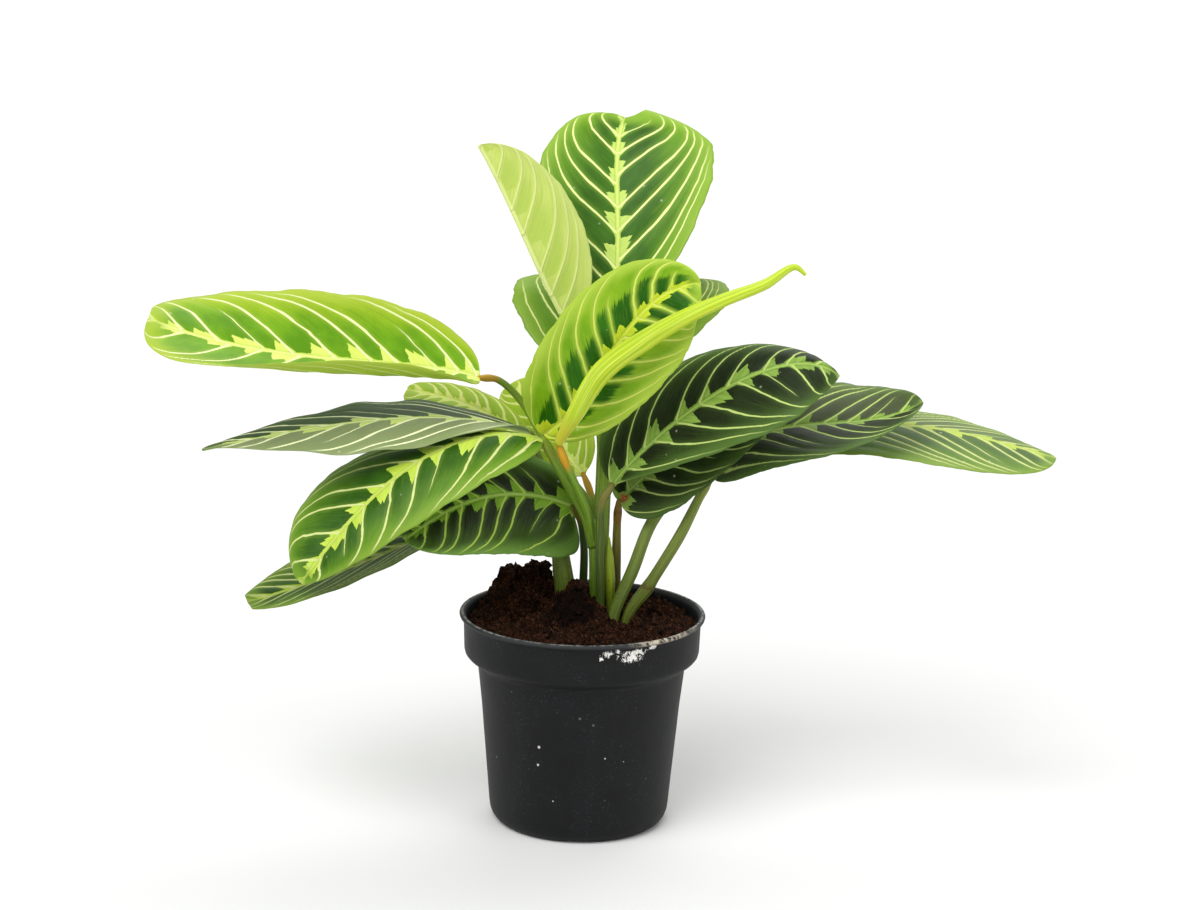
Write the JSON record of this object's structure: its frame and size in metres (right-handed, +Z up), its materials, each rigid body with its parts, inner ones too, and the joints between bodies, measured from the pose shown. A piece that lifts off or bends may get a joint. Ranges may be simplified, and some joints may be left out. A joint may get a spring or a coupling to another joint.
{
  "type": "potted prayer plant",
  "caption": "Prayer plant with broad patterned leaves on slender stalks, growing in a round black nursery pot of soil.",
  "frame": {"origin": "centre of the pot's flat underside", "axes": "+Z up the pot's axis, -Y the front as pictured, +X to the right, along the plant's widest spread"},
  "size_m": [0.3884, 0.138, 0.3079],
  "materials": {
    "pot_plastic": "black plastic, satin, a little scuffed",
    "soil": "dark brown peat, matte and crumbly",
    "stem_green": "green stalks, slightly waxy",
    "sheath_green": "pale young sheath",
    "leaf_dark": "dark green leaf with pale veins, satin",
    "leaf_lime": "young lime green leaf with pale veins, satin"
  },
  "bodies": {
    "root": {"pot": "pot_plastic", "soil": "soil", "shoot_main": "stem_green", "shoot_centre": "stem_green", "shoot_left": "stem_green", "stalk_low_inner": "stem_green", "stalk_right_upper": "stem_green", "stalk_right_under": "stem_green", "stalk_right_second": "stem_green", "stalk_right_far": "stem_green", "sheath_young": "sheath_green", "leaf_long_lime": "leaf_lime", "leaf_left_arch": "leaf_dark", "leaf_front_left": "leaf_dark", "leaf_low_left": "leaf_dark", "leaf_low_inner": "leaf_dark", "leaf_top_round": "leaf_dark", "leaf_pale_back": "leaf_dark", "leaf_front_bright": "leaf_lime", "leaf_right_upper": "leaf_dark", "leaf_right_second": "leaf_dark", "leaf_right_far": "leaf_dark", "leaf_right_under": "leaf_dark", "leaf_back_broad": "leaf_dark", "leaf_lime_behind": "leaf_lime", "leaf_young_center": "leaf_lime", "leaf_rolled": "leaf_lime"}
  },
  "joints": []
}
